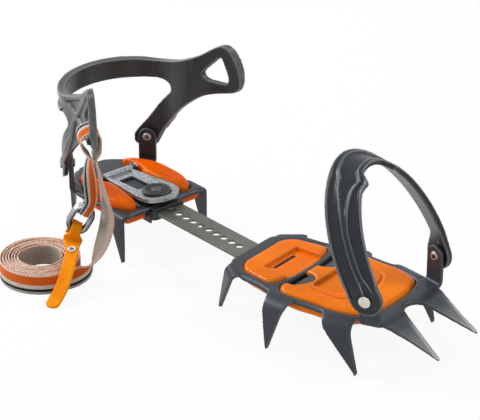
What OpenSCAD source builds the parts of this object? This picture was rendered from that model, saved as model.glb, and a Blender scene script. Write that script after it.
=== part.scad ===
// Mountaineering crampon with twelve points and a cradle-and-strap binding.
// Millimetres, X towards the toe, Z up, the tips of the down points stand on Z = 0.

/* [Frames] */
// Turn of the front frame in plan against the linking bar, degrees
toe_turn = 10.7; // [8:0.1:11.5]
// Top face of both steel frames above the tips
frame_top = 36; // [35:0.5:37]
// Sheet thickness of the frames
sheet = 3; // [2.6:0.1:3.2]
// Outer radius of the bends at the roots of tabs and heel points
bend = 5; // [4.5:0.1:5.5]
// Outer radius of the wide bends at the sides of the front frame
side_bend = 12; // [10:0.5:12.5]
// Height of the front point tips
front_tip_height = 19; // [17:0.5:21]

/* [Length setting] */
// Width of the linking bar
bar_width = 23; // [21:0.5:23]
// Thickness of the linking bar
bar_thick = 1.8; // [1.6:0.1:2]
// Distance between the holes of the bar
hole_pitch = 8.1; // [8:0.1:8.4]
// Diameter of the holes of the bar
hole_diameter = 6; // [5.4:0.1:6.2]
// Lift of the latch in the drawn position, degrees
latch_lift = 2.8; // [2.7:0.1:3.5]

/* [Cradles] */
// Height of the rivets of both cradles
rivet_height = 55; // [54:0.5:56]
// Backward lean of the toe cradle, degrees
toe_lean = 31.2; // [29:0.1:33]
// Thickness of the cradle walls
wall = 4; // [3.6:0.1:4.2]
// Height of the stiffening ribs on the cradles
rib = 1.6; // [0.8:0.1:1.8]
// Shank radius of the rivets
shank = 2.4; // [2.2:0.1:2.5]

/* [Strap] */
// Width of the webbing
web_width = 15; // [13:0.5:15.5]
// Thickness of the webbing
web_thick = 1.3; // [1.1:0.1:1.4]
// Turns of the webbing in the roll
roll_turns = 6.9; // [5:0.1:7]
// Distance between the layers of the roll
roll_step = 2; // [1.9:0.05:2.1]

/* [Output] */
// Sub-part to draw, or all

/* [Hidden] */
$fn = 48;
heel_x = -94.343;
front_x = 3.157;
mid_y = -1.82;
frame_low = frame_top - sheet;
bar_top = frame_low - 0.4;
bar_low = bar_top - bar_thick;
toe_rivet_s = 127.4;
pivot_x = -45;
pivot_z = frame_top + 2.9;
wall_back = -72.6;
wall_mid = -33.5;
wall_half = 46.4;
flare_end = 17.6;
flare_half = 66;
roll_x = -14.5;
roll_y = -92;
roll_radius = 28.4;

function flip(pts) = [for (i = [len(pts) - 1:-1:0]) concat([pts[i][0], -pts[i][1]],
    len(pts[i]) > 2 ? [pts[i][2]] : [])];
function both(pts) = concat(flip(pts), pts);
function corner(p, a, b, d, n) =
  let(da = min(d, norm(a - p) * 0.48), db = min(d, norm(b - p) * 0.48),
    s = p + (a - p) / norm(a - p) * da, e = p + (b - p) / norm(b - p) * db)
  [for (j = [0:n]) let(t = j / n) (1 - t) * (1 - t) * s + 2 * t * (1 - t) * p + t * t * e];
function xy(p) = [p[0], p[1]];
function soft(pts, n = 4) = [for (i = [0:len(pts) - 1])
  for (q = len(pts[i]) > 2 ? corner(xy(pts[i]), xy(pts[(i + len(pts) - 1) % len(pts)]),
    xy(pts[(i + 1) % len(pts)]), pts[i][2], n) : [xy(pts[i])]) q];
function arc(c, r, a0, a1, n) = [for (i = [0:n]) let(a = a0 + (a1 - a0) * i / n) [c[0] + r * cos(a),
    c[1] + r * sin(a)]];
function mix(a, b, t) = a + (b - a) * t;
function unit(v) = v / norm(v);
function clamp01(t) = max(0, min(1, t));
function ease(t) = let(c = clamp01(t)) c * c * (3 - 2 * c);
function spline(p, t) =
  let(n = len(p) - 1, k = min(floor(t), n - 1), f = t - k,
    a = p[max(k - 1, 0)], b = p[k], c = p[k + 1], d = p[min(k + 2, n)])
  0.5 * ((2 * b) + (c - a) * f + (2 * a - 5 * b + 4 * c - d) * f * f + (3 * b - a - 3 * c + d) * f * f * f);

module place_heel() {
  translate([heel_x, mid_y, 0]) children();
}

module place_front() {
  translate([front_x, mid_y, 0]) rotate([0, 0, toe_turn]) children();
}

module slab(pts, z0, z1) {
  translate([0, 0, z0]) linear_extrude(z1 - z0) polygon(pts);
}

module along_x(pts, x0, x1) {
  translate([x0, 0, 0]) rotate([90, 0, 90]) linear_extrude(x1 - x0) polygon(pts);
}

module along_y(pts, y0, y1) {
  translate([0, y1, 0]) rotate([90, 0, 0]) linear_extrude(y1 - y0) polygon(pts);
}

// Skin through equal rings of points, closed at both ends.
module skin(rings) {
  m = len(rings[0]);
  n = len(rings);
  polyhedron(
    points = [for (r = rings) for (p = r) p],
    faces = concat(
      [[for (j = [0:m - 1]) j]],
      [for (i = [0:n - 2]) for (j = [0:m - 1]) [i * m + j, (i + 1) * m + j, (i + 1) * m + (j + 1) % m]],
      [for (i = [0:n - 2]) for (j = [0:m - 1]) [i * m + j, (i + 1) * m + (j + 1) % m, i * m + (j + 1) % m]],
      [[for (j = [m - 1:-1:0]) (n - 1) * m + j]]),
    convexity = 8);
}

function area(pts) = [for (i = [0:len(pts) - 1]) cross(pts[i],
    pts[(i + 1) % len(pts)])] * [for (p = pts) 0.5];
function leftward(pts) = area(pts) > 0 ? pts : [for (i = [len(pts) - 1:-1:0]) pts[i]];

// Pillow: an outline drawn in towards its middle in steps while it rises by h.
module pillow(outline, z0, z1, h, inset) {
  pts = leftward(outline);
  c = [for (k = [0, 1]) let(v = [for (p = pts) p[k]]) (max(v) + min(v)) / 2];
  span = min([for (p = pts) norm(p - c)]);
  skin(concat(
    [[for (p = pts) [p[0], p[1], z0]]],
    [for (i = [0:5]) let(a = i * 18, f = 1 - inset / span * (1 - cos(a)))
      [for (p = pts) [mix(c[0], p[0], f), mix(c[1], p[1], f), z1 + h * sin(a)]]]));
}

// Point bent down from the frame: a and b are the ends of its bend line, tip is along that line,
// r is the radius of the bend and lip is how far the bent edge runs on beside the root.
module down_point(a, b, tip, splay, r, lip) {
  d = b - a;
  w = norm(d);
  half = 1.1;
  tilt = atan(splay / (frame_top - r));
  leg = [sin(tilt), -cos(tilt)] * (frame_top - r + 6);
  outer = arc([-r, frame_top - r], r, 90, tilt, 9);
  inner = arc([-r, frame_top - r], r - sheet, tilt, 90, 9);
  root = frame_top - 0.42 * r;
  knee = frame_top - 0.16 * r;
  edge = frame_top - 0.02 * r;
  left_side = [[-lip - 1, frame_top + 1], [-lip - 1, edge], [-lip, edge], [-0.4, knee, lip / 2],
      [0, root, 3]];
  right_side = [for (k = [4:-1:0]) concat([w - left_side[k][0]],
      [for (m = [1:len(left_side[k]) - 1]) left_side[k][m]])];
  point_end = [[tip - half, 1.4, 0.8], [tip - half / 2, 0], [tip + half / 2, 0], [tip + half, 1.4, 0.8]];
  translate([a[0], a[1], 0]) rotate([0, 0, atan2(d[1], d[0])]) intersection() {
    along_x(concat([[-r - 5, frame_top]], outer, [outer[9] + leg], [inner[0] + leg], inner,
      [[-r - 5, frame_low]]), -30, w + 30);
    along_y(soft(concat(left_side, point_end, right_side)), -30, 30);
  }
}

// Tab bent up from the frame with a round top.
module up_tab(a, b) {
  d = b - a;
  w = norm(d);
  outer = arc([-bend, frame_low + bend], bend, -90, 0, 7);
  inner = arc([-bend, frame_low + bend], bend - sheet, 0, -90, 7);
  translate([a[0], a[1], 0]) rotate([0, 0, atan2(d[1], d[0])]) intersection() {
    along_x(concat([[-bend - 6, frame_low]], outer, [[0, 90], [-sheet, 90]],
        inner, [[-bend - 6, frame_top]]), -10, w + 10);
    along_y(concat([[0, frame_low - 1]], [[w, frame_low - 1]],
      arc([w / 2, rivet_height], w / 2, 0, 180, 12)), -30, 30);
  }
}

front_half = [[2.5, 0], [2.5, 22, 4], [7.7, 25.9, 2], [20.2, 35.4, 3], [26, 34.8, 5], [38, 35.6, 6],
  [46, 38.2, 5], [51, 40, 3], [70, 40, 3], [78, 39, 6], [86, 38.6, 6], [96, 39, 4], [114, 35.6, 2],
      [118.8, 34.2, 2],
  [126, 32.6], [126, 0]];
rear_window_half = [[13, 0], [13, 21, 4], [19.5, 28.4, 4], [43.5, 32.2, 4], [47.6, 25, 4],
    [49.6, 8, 4], [49.6, 0]];
front_window_half = [[53.6, 0], [53.6, 8, 3], [52.8, 22, 4], [51.4, 31, 3], [55.5, 36.8, 5], [70, 37.2, 6],
  [84, 35.8, 8], [97, 36.4, 6], [110.5, 33.4, 4], [117.8, 29.6, 4], [122.4, 12, 5], [122.4, 0]];
fork_half = [[130.3, 0], [131.2, 4, 2], [135, 8.4, 3], [140, 10.8, 6], [170, 20.6, 0.5], [171.4, 22, 0.8],
  [170, 23.4, 0.5], [152, 26.4, 8], [134, 31.6, 3], [122, 33]];
toe_tab_a = [120.6, 39.9];
toe_tab_b = [134.2, 36.3];
toe_tab_angle = atan2(toe_tab_b[1] - toe_tab_a[1], toe_tab_b[0] - toe_tab_a[0]);

module front_fork() {
  tip = 171.4;
  slope = (frame_top - 1 - front_tip_height) / (tip - 138);
  intersection() {
    slab(soft(concat(flip(fork_half), fork_half)), 0, frame_top + 2);
    along_y([[116, frame_top], [131, frame_top], [134, frame_top - 0.3], [136, frame_top - 0.7],
        [138, frame_top - 1.4],
      [tip, front_tip_height], [tip, front_tip_height - 1.4], [138, frame_low - 1.2],
          [135.5, frame_low - 0.5],
      [133, frame_low - 0.1], [131, frame_low], [116, frame_low]], -40, 40);
  }
}

module front_side() {
  down_point([4, 30.5], [16.5, 40.5], -7, 2.5, 6, 2);
  down_point([51.9, 52.5], [68.2, 52.5], 4.8, 1, side_bend, 3);
  down_point([97, 49.9], [117, 46.1], 25.7, 0.5, side_bend, 3);
  up_tab(toe_tab_a, toe_tab_b);
}

// Rounded rim of the rails, in steps: each slab is wider and lower than the one before.
function widen(pts, d) = [for (p = pts) p[0] > 24 && p[0] < 113 ? [p[0], p[1] + d, p[2]] : p];

module front_frame() {
  color("#4b5058") place_front() difference() {
    union() {
      slab(soft(both(front_half)), frame_low, frame_top);
      for (a = [24, 45, 66, 90]) slab(soft(both(widen(front_half, 2.4 * sin(a)))),
          frame_low, frame_top - 2.2 * (1 - cos(a)));
      front_fork();
      front_side();
      mirror([0, 1, 0]) front_side();
    }
    slab(soft(both(rear_window_half)), frame_low - 1, frame_top + 1);
    slab(soft(both(front_window_half)), frame_low - 1, frame_top + 1);
    translate([toe_rivet_s, -60, rivet_height]) rotate([-90, 0, 0]) cylinder(r = shank, h = 120);
  }
}

function shrink(pts, d) =
  let(c = [for (k = [0, 1]) let(v = [for (p = pts) p[k]]) (max(v) + min(v)) / 2])
  [for (p = pts) p - unit(p - c) * d];

module front_pads() {
  pillow(shrink(soft(both(rear_window_half), 3), 0.45), frame_low - 1, frame_top - 1.1, 2, 2.4);
  pillow(shrink(soft(both(front_window_half), 3), 0.45), frame_low - 1, frame_top - 1.1, 2, 2.8);
}

belly_half = [[9, 0], [9, 20, 5], [22, 31, 6], [40, 34.5, 6], [50, 38, 6], [72, 40.5, 6],
    [84, 38.6, 6], [98, 39, 6],
  [112, 34.5, 6], [120, 22, 6], [120, 0]];

lobe_pocket = [[53, 5.6, 1], [59, 5.2, 3], [66, 9.6, 4], [66, 17.6, 4], [60, 27, 3], [53, 27.2, 1]];

module front_antiball_plate() {
  color("#ee7314") place_front() difference() {
    union() {
      front_pads();
      mirror([0, 0, 1]) pillow(soft(both(belly_half), 3), -frame_low, -frame_low + 2.6, 3.6, 5);
    }
    translate([-5, -13.2, 0]) cube([65, 26.4, frame_low + 0.2]);
    slab([[38, -13], [50, -27.6], [60.5, -27.6], [60.5, 27.6], [50, 27.6], [38, 13]],
        bar_low - 2.2, frame_low + 0.2);
    slab(soft(lobe_pocket), bar_low - 1, 60);
    slab(soft(flip(lobe_pocket)), bar_low - 1, 60);
    slab(soft([[27.5, -18.5, 2], [50, -18.5], [50, 18.5], [27.5, 18.5, 2]]), frame_top - 2, 60);
    slab(soft([[30, -11.5, 1], [33, -11.5, 1], [33, 11.5, 1], [30, 11.5, 1]]), 0, 60);
    slab(soft([[68, -19, 3], [93, -19, 10], [98, 0, 10], [93, 19, 10], [68, 19, 3]]), frame_top - 1.6, 60);
    slab(soft([[72, -25, 1], [98, -25, 10], [106, 0, 12], [98, 25, 10], [72, 25, 1], [72, 23, 1],
        [96, 22.5, 8],
      [103, 0, 10], [96, -22.5, 8], [72, -23, 1]]), frame_top - 0.4, 60);
  }
}

module bar_lobe() {
  intersection() {
    slab(soft([[52, 6.6, 1], [59, 6.2, 3], [65.2, 10.2, 4], [65.2, 17, 4], [59.6, 26.2, 3],
        [52, 24.4, 1]]), 0, 60);
    along_y([[50, bar_low], [54.4, bar_low], [56, bar_low + 0.8], [60, frame_top - 2.2],
        [65.4, frame_top - 1.8],
      [65.4, frame_top + 0.5], [59.4, frame_top + 0.3], [58.4, frame_top - 0.2], [55, bar_top + 0.4],
          [54.2, bar_top], [50, bar_top]], -40, 40);
  }
}

module linking_bar() {
  holes = 15;
  color("#6a6d62") difference() {
    union() {
      place_heel() slab(soft([[-27.5, -bar_width / 2, 4], [98, -bar_width / 2], [99.3, 0],
          [97.5, bar_width / 2],
        [-27.5, bar_width / 2, 4]]), bar_low, bar_top);
      place_front() slab(soft([[-1.5, -bar_width / 2], [43, -bar_width / 2, 8], [51, -24.5, 4],
          [58.3, -24.5], [58.3, -7, 2],
        [55, 0, 4], [58.3, 7, 2], [58.3, 24.5], [51, 24.5, 4], [43, bar_width / 2, 8],
            [-1.5, bar_width / 2]]), bar_low, bar_top);
      place_front() translate([57, -24, (bar_low + bar_top) / 2]) rotate([-90, 0,
          0]) cylinder(r = bar_thick / 2 + 0.1, h = 48);
      place_front() bar_lobe();
      place_front() mirror([0, 1, 0]) bar_lobe();
    }
    place_heel() for (k = [0:holes - 1]) translate([(k - 3) * hole_pitch, 0,
        bar_low - 1]) cylinder(d = hole_diameter, h = bar_thick + 2);
  }
}

function arch_at(k, t, side) =
  let(a = 51.8 - 11.7 * k, h = 86.6 - 11.7 * k, up = 12.6 + (h - 12.6) * pow(sin(90 * t), 1.05),
    v = a * pow(max(cos(90 * t), 0), 1.05))
  [toe_rivet_s - 5.2 - up * sin(toe_lean) + 17.4 * k * cos(toe_lean), side * v,
    rivet_height + up * cos(toe_lean) + 17.4 * k * sin(toe_lean)];
arm_mid = [toe_rivet_s, 42.75, rivet_height + 0.2];
arm_half = 11 * unit([0.85, -0.225, 0.5]);
arm_down = unit([0.5, -0.1325, -0.85]);
function glide(a, ta, b, tb, q) = a * (1 + q * q * (2 * q - 3)) + ta * q * (1 - q) * (1 - q)
  + b * q * q * (3 - 2 * q) - tb * q * q * (1 - q);
function arm_edge(k, q, side) =
  let(p = q <= 1 ? glide(arch_at(k, 0, 1), [sin(toe_lean),
      0, -cos(toe_lean)] * 15, arm_mid + (2 * k - 1) * arm_half,
      arm_down * 15, q)
    : arm_mid + arm_down * 11 * sin(90 * (q - 1)) + (2 * k - 1) * arm_half * max(cos(90 * (q - 1)), 0.06))
  [p[0], side * p[1], p[2]];
function cut_back(v) = 1 + 0.16 * exp(-pow((abs(v) - 17.5) / 3,
    2)) - 0.14 / (1 + exp((abs(v) - 13.5) / 0.9));
// One station of the toe cradle: q from -3 (end of the right arm) to 3 (end of the left arm), 0 at the top.
function toe_edge(k, q) =
  let(side = q < 0 ? -1 : 1, m = abs(q))
  m <= 1 ? let(r = arch_at(0, 1 - m, side),
      f = arch_at(1, 1 - m, side)) k == 0 ? r : mix(r, f, cut_back(f[1]) + 0.2 * (1 - m * m))
    : arm_edge(k, m - 1, side);
function toe_normal(at) =
  let(q = max(-2.95, min(2.95, at)), d = 0.01, a = toe_edge(0, q - d) + toe_edge(1, q - d),
      b = toe_edge(0, q + d) + toe_edge(1, q + d),
    n = cross(toe_edge(1, q) - toe_edge(0, q), b - a))
  unit(n);
function rib_a(m) = m < 0.72 ? mix(0.18, 0.44, ease(m / 0.72)) : mix(0.44, 0.5, clamp01((m - 0.72) / 0.5));
function rib_b(m) = m < 0.72 ? mix(0.84, 0.56, ease((m - 0.1) / 0.62)) : mix(0.56, 0.84,
    clamp01((m - 0.72) / 1.2));
function low(g) = -rib * clamp01((g - 0.05) / 0.08);
function toe_ring(q) =
  let(m = abs(q), a = rib_a(m), b = max(rib_b(m), a + 0.1), r = toe_edge(0, q), f = toe_edge(1, q),
      n = toe_normal(q),
    flat = clamp01((m - 1.75) / 0.15), g1 = low(a - 0.16) * (1 - flat),
        g2 = low(b - a - 0.1) * (1 - flat), g3 = low(0.86 - b) * (1 - flat),
    ws = [[0, 0], [0.08, 0], [0.1, g1], [a - 0.05, g1], [a - 0.03, 0], [a + 0.03, 0], [a + 0.045, g2],
        [b - 0.045, g2],
      [b - 0.03, 0], [b + 0.03, 0], [b + 0.05, g3], [0.905, g3], [0.93, 0], [1, 0]])
  concat([for (w = ws) mix(r, f, w[0]) + n * w[1]],
      [for (w = [0.98, 0.66, 0.34, 0.02]) mix(r, f, w) - n * mix(wall, 3.6, flat)]);
toe_stations = concat([-3, -2.93, -2.8, -2.65, -2.5, -2.35, -2.2, -2.05, -1.9, -1.75, -1.6, -1.45,
    -1.3, -1.15],
  [for (i = [-20:20]) i / 20], [1.15, 1.3, 1.45, 1.6, 1.75, 1.9, 2.05, 2.2, 2.35, 2.5, 2.65, 2.8, 2.93, 3]);

module toe_cradle() {
  color("#2d3238") place_front() difference() {
    skin([for (q = toe_stations) toe_ring(q)]);
    translate([toe_rivet_s, -60, rivet_height]) rotate([-90, 0, 0]) cylinder(r = shank + 0.05, h = 120);
  }
}

// Rivet on the left side: shank along Y, head and rolled ring tilted to lie on the tab.
module toe_rivet() {
  tab_out = toe_tab_a[1] + (toe_rivet_s - toe_tab_a[0]) * tan(toe_tab_angle);
  difference() {
    union() {
      translate([toe_rivet_s, tab_out - 4.6, rivet_height]) rotate([-90, 0, 0]) cylinder(r = shank,
          h = 10.6);
      translate([toe_rivet_s, tab_out + 5.45, rivet_height]) rotate([0, 0, toe_tab_angle]) rotate([-90,
          0, 0]) {
        cylinder(r = 4, h = 0.9);
        translate([0, 0, 0.9]) cylinder(r1 = 4, r2 = 3.1, h = 0.5);
      }
      translate([toe_rivet_s, tab_out - sheet, rivet_height]) rotate([0, 0, toe_tab_angle]) rotate([90,
          0, 0])
        rotate_extrude() polygon([[1.3, 0], [3.4, 0], [3.4, 0.4], [3, 0.9], [2.4, 1.1], [1.3, 1.1]]);
    }
    translate([toe_rivet_s, tab_out - 6, rivet_height]) rotate([-90, 0, 0]) cylinder(r = 1.3, h = 5);
  }
}

module toe_rivet_left() {
  color("#d7d2c8") place_front() toe_rivet();
}

module toe_rivet_right() {
  color("#d7d2c8") place_front() mirror([0, 1, 0]) toe_rivet();
}

wall_turn = 55;
wall_point = [wall_mid + (wall_back - wall_mid) * cos(wall_turn), wall_half * sin(wall_turn)];
wall_out = unit([(wall_back - wall_mid < 0 ? -1 : 1) * cos(wall_turn) / abs(wall_back - wall_mid),
    sin(wall_turn) / wall_half]);
tab_gap = 0.75;
heel_tab_mid = wall_point - wall_out * (wall / 2 + tab_gap);
heel_tab_dir = [wall_out[1], -wall_out[0]];
heel_tab_a = heel_tab_mid - heel_tab_dir * 6.5;
heel_tab_b = heel_tab_mid + heel_tab_dir * 6.5;
heel_half = [[-76.5, 0], [-76.5, 11, 4], [-71.5, 14.5, 2], [-60, 27, 2], [-56.5, 27.5, 2],
    [-47.5, 35, 3], [-44, 37.8, 4],
  [-26, 36.6, 8], [-10, 36.2, 4], [-7.5, 34, 1], [9.5, 34, 1], [9.5, 0]];
heel_window = [[-62.5, 16.8, 2], [-52, 17.4, 2], [-39, 17.4, 3], [-34, 13.8, 3], [-20, 14.9, 5],
    [-12, 16.2, 5], [-3, 17.6, 5], [3.4, 19.6, 4],
  [4, 28.4, 6], [-7, 33, 6], [-38, 33.8, 8], [-56, 25.2, 5], [-62.5, 19.8, 2]];

module heel_side() {
  down_point([-7.5, 39], [9, 39], 15.2, 0, bend, 0.4);
  down_point([-75, 17], [-63.4, 29.8], -4.6, 3.2, bend, 0.4);
  up_tab(heel_tab_a, heel_tab_b);
  difference() {
    translate([pivot_x - 4, 13.2, frame_low]) cube([8, 2.6, pivot_z - frame_low + 3]);
    translate([pivot_x, 10, pivot_z]) rotate([-90, 0, 0]) cylinder(r = 1.5, h = 10);
  }
}

module heel_axis() {
  translate([wall_point[0], wall_point[1], rivet_height]) rotate([0, 0, atan2(wall_out[1],
      wall_out[0]) - 90]) rotate([-90, 0, 0]) children();
}

module heel_frame() {
  color("#4b5058") place_heel() difference() {
    union() {
      difference() {
        slab(soft(both(heel_half)), frame_low, frame_top);
        slab(soft(heel_window), frame_low - 1, frame_top + 1);
        slab(soft(flip(heel_window)), frame_low - 1, frame_top + 1);
      }
      heel_side();
      mirror([0, 1, 0]) heel_side();
    }
    translate([0, 0, frame_low - 1]) cylinder(d = 9, h = sheet + 2);
    heel_axis() translate([0, 0, -12]) cylinder(r = shank, h = 24);
    mirror([0, 1, 0]) heel_axis() translate([0, 0, -12]) cylinder(r = shank, h = 24);
  }
}

heel_belly = [[-70, 0], [-70, 9, 4], [-58, 24, 5], [-44, 34, 6], [-24, 34.5, 6], [-9, 33.5, 4],
    [7.5, 33, 3], [7.5, 0]];

module heel_antiball_plate() {
  color("#ee7314") place_heel() difference() {
    union() {
      pillow(shrink(soft(heel_window, 3), 0.45), frame_low - 1, frame_top + 0.2, 5.2, 2.6);
      pillow(shrink(soft(flip(heel_window), 3), 0.45), frame_low - 1, frame_top + 0.2, 5.2, 2.6);
      mirror([0, 0, 1]) pillow(soft(both(heel_belly), 3), -frame_low, -frame_low + 3, 3.6, 4);
    }
    translate([-90, -bar_width / 2 - 0.8, bar_low - 0.8]) cube([120, bar_width + 1.6,
        frame_low - bar_low + 1]);
    translate([-6, -16, 0]) cube([30, 32, frame_low + 0.2]);
  }
}

module bar_guide() {
  side = bar_width / 2 + 0.3;
  color("#23262a") place_heel() difference() {
    union() {
      slab(soft([[-5, -15, 2], [12, -15, 3], [14.4, -12, 2], [14.4, 12, 2], [12, 15, 3],
          [-5, 15, 2]]), bar_low - 3.6, frame_low);
      slab(soft([[9.9, -13.5, 1], [14, -13.5, 2], [14, 13.5, 2], [9.9, 13.5, 1]]),
          frame_low - 0.5, frame_top - 0.6);
      slab(soft([[1, -15, 1], [12, -15, 2], [11, -13.2, 1], [1, -13.2, 1]]), bar_low - 6, bar_low);
      slab(soft([[1, 15, 1], [12, 15, 2], [11, 13.2, 1], [1, 13.2, 1]]), bar_low - 6, bar_low);
    }
    translate([-10, -side, bar_low - 0.3]) cube([40, 2 * side, bar_thick + 0.6]);
    translate([-10, -side, bar_low]) cube([19.9, 2 * side, 10]);
    translate([0, 0, 0]) cylinder(d = 7, h = 60);
  }
}

module lifted() {
  translate([pivot_x, 0, pivot_z]) rotate([0, -latch_lift, 0]) translate([-pivot_x, 0,
      -pivot_z]) children();
}

latch_half = [[pivot_x + 1, 12], [-20, 14, 6], [-2, 16.2, 8], [9, 14.5, 8], [14.2, 5, 6], [14.2, 0]];
latch_z = frame_top + 0.3;

module length_latch() {
  color("#bec3c6") place_heel() lifted() difference() {
    union() {
      slab(soft(concat(flip(latch_half), latch_half)), latch_z, latch_z + 1.6);
      difference() {
        slab(soft(concat(flip(latch_half), latch_half)), latch_z, latch_z + 3);
        slab(soft([[pivot_x - 2, -9.4], [-20, -11, 4], [-2, -13, 8], [8, -11.5, 8], [11.6, 0, 8],
            [8, 11.5, 8], [-2, 13, 8], [-20, 11, 4],
          [pivot_x - 2, 9.4]]), latch_z + 1, latch_z + 4);
      }
      translate([pivot_x, -12.8, pivot_z]) rotate([-90, 0, 0]) cylinder(r = 2.6, h = 25.6);
    }
    slab(soft([[-36, -6.4, 2], [-12.5, -6.4, 2], [-12.5, 6.4, 2], [-36, 6.4, 2]]),
        latch_z - 2, latch_z + 6);
    translate([0, 0, latch_z - 2]) cylinder(r = 2.6, h = 10);
    translate([pivot_x, -20, pivot_z]) rotate([-90, 0, 0]) cylinder(r = 1.56, h = 40);
  }
}

module latch_knob() {
  color("#23262a") place_heel() lifted() translate([0, 0, latch_z + 1.6]) difference() {
    rotate_extrude() polygon([[2.6, 0], [10, 0], [10.4, 0.5], [10.4, 2], [9.6, 2.9], [8, 3.3], [6, 3],
        [4.6, 2.6], [2.6, 2.6]]);
    for (a = [0:30:330]) rotate([0, 0, a]) translate([10.9, 0, -1]) cylinder(r = 0.9, h = 6, $fn = 16);
  }
}

module latch_pin() {
  color("#c8c8c4") place_heel() lifted() {
    translate([0, 0, bar_low + 0.1]) cylinder(r1 = 2, r2 = 2.5, h = 0.5);
    translate([0, 0, bar_low + 0.6]) cylinder(r = 2.5, h = latch_z - bar_low);
    translate([0, 0, latch_z]) cylinder(r = 2.6, h = 4.2);
    translate([0, 0, latch_z + 4.2]) cylinder(r1 = 3.8, r2 = 3.4, h = 0.7);
  }
}

module latch_pivot_pin() {
  color("#c8c8c4") place_heel() {
    translate([pivot_x, -16.4, pivot_z]) rotate([-90, 0, 0]) cylinder(r = 1.5, h = 32.8);
    for (s = [-1, 1]) translate([pivot_x, s * 16.5, pivot_z]) rotate([90, 0, 0]) cylinder(r = 2.6,
        h = 1.2, center = true);
  }
}

function wall_plan(i) =
  i < 0 ? let(p = wall_plan(-i)) [p[0], -p[1]]
  : i <= 18 ? let(a = i * 5) [wall_mid + (wall_back - wall_mid) * cos(a), wall_half * sin(a)]
  : let(s = (i - 18) / 9) [mix(wall_mid, flare_end, s), wall_half + (flare_half - wall_half) * pow(s, 1.6)];
function wall_side(i) = let(d = unit(wall_plan(min(i + 0.3, 27)) - wall_plan(max(i - 0.3,
    -27)))) [-d[1], d[0]];
function wall_strip(out, inn) = concat(
  [for (i = [-27:27]) wall_plan(i) + wall_side(i) * out],
      [for (i = [27:-1:-27]) wall_plan(i) + wall_side(i) * inn]);
heel_outline = [[-80, 115.6], [-62, 114.6, 6], [-48, 114, 8], [-32, 117.5, 8], [-12, 126.6, 8],
    [-3, 133.6, 6], [4, 138, 5],
  [9.6, 135, 5], [15, 124, 8], [17.2, 109, 5], [14.5, 102.5, 6], [2, 100.6, 6], [-10, 96.6, 8],
      [-28.5, 82, 10], [-44, 62.8, 8],
  [-49, 52, 4], [-51, 46.8, 4], [-56.5, 45, 4], [-61.6, 48, 4], [-62, 57, 4], [-55.5, 67.5, 8],
      [-46.6, 83, 8],
  [-36.6, 93.6, 3], [-38.5, 98.5, 5], [-46, 101, 4], [-60, 100, 6], [-80, 100]];
heel_hole = [[4, 129.5, 3], [-10.4, 114, 3], [-7.2, 110, 3], [8.6, 108.4, 3], [9.2, 114, 3]];
heel_ribs = [[[-80, 115.6], [-48, 114], [-30, 106], [-12, 101], [2, 100.6], [2, 104], [-11, 104.6],
    [-28, 109.4], [-46, 117.4], [-80, 119]],
  [[-64, 48], [-42, 62.8], [-40, 66], [-31, 84], [-26, 100], [-12, 118], [4, 134], [4, 139],
      [-3, 134.5], [-16, 119], [-30, 100], [-35, 86],
    [-46, 68]],
  [[-80, 98], [-46, 98], [-46, 103.4], [-80, 103]],
  [[-80, 112.6], [-48, 111], [-32, 114.4], [-12, 123.6], [4, 136], [9, 132], [12, 123], [14.2, 110],
      [20, 108], [20, 140], [-80, 140]]];

// The right side hangs lower at its loop, where the strap pulls on it.
function sagged(pts) = [for (p = pts) let(k = ease((p[0] + 22) / 24) * (1 - ease((p[1] - 108) / 22)))
  concat([p[0] + 1.6 * k, p[1] - 4.4 * k], len(p) > 2 ? [p[2]] : [])];

module heel_sides(pts) {
  along_y(soft(pts, 3), -0.5, 80);
  along_y(soft(sagged(pts), 3), -80, 0.5);
}

module heel_cradle() {
  color("#3c3c3a") place_heel() difference() {
    union() {
      intersection() {
        slab(wall_strip(-wall / 2, wall / 2), 40, 145);
        heel_sides(heel_outline);
      }
      for (r = heel_ribs) intersection() {
        slab(wall_strip(-wall / 2 + 0.5, wall / 2 + rib), 40, 145);
        heel_sides(heel_outline);
        heel_sides(r);
      }
    }
    along_y(soft(heel_hole, 3), 20, 90);
    along_y(soft(sagged(heel_hole), 3), -90, -20);
    heel_axis() translate([0, 0, -12]) cylinder(r = shank, h = 24);
    mirror([0, 1, 0]) heel_axis() translate([0, 0, -12]) cylinder(r = shank, h = 24);
  }
}

module heel_rivet() {
  difference() {
    heel_axis() {
      translate([0, 0, -wall / 2 - tab_gap - sheet - 1]) cylinder(r = shank,
          h = wall + tab_gap + sheet + 1.1);
      translate([0, 0, wall / 2]) cylinder(r = 4, h = 0.9);
      translate([0, 0, wall / 2 + 0.9]) cylinder(r1 = 4, r2 = 3.1, h = 0.5);
      translate([0, 0, -wall / 2 - tab_gap - sheet]) rotate([180, 0, 0])
        rotate_extrude() polygon([[1.3, 0], [3.2, 0], [3.2, 0.6], [2.7, 1.2], [2.2, 1.4], [1.3, 1.4]]);
    }
    heel_axis() translate([0, 0, -wall / 2 - tab_gap - sheet - 4]) cylinder(r = 1.3, h = 6);
  }
}

module heel_rivet_left() {
  color("#d7d2c8") place_heel() heel_rivet();
}

module heel_rivet_right() {
  color("#d7d2c8") place_heel() mirror([0, 1, 0]) heel_rivet();
}

// Strap: a strip carried along a path. Each station holds its middle and the direction of its width.
loop_mid = [2.2, -57.3, 101];
web_dir = unit([0.905, -0.425, -0.17]);
web_side = unit([0.425, 0.905, 0]);
ring_long = unit([-0.328, -0.376, -0.866]);
ring_face = unit(cross(ring_long, [0.55, 0.63, -0.48]));
ring_short = cross(ring_face, ring_long);
web_low = 0.4 + web_width / 2;
roll_start = 0;
function in_loop(q, z) = loop_mid + web_side * q + web_dir * clamp01(-z / 50) * 3.8 + [0, 0, z];
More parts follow.
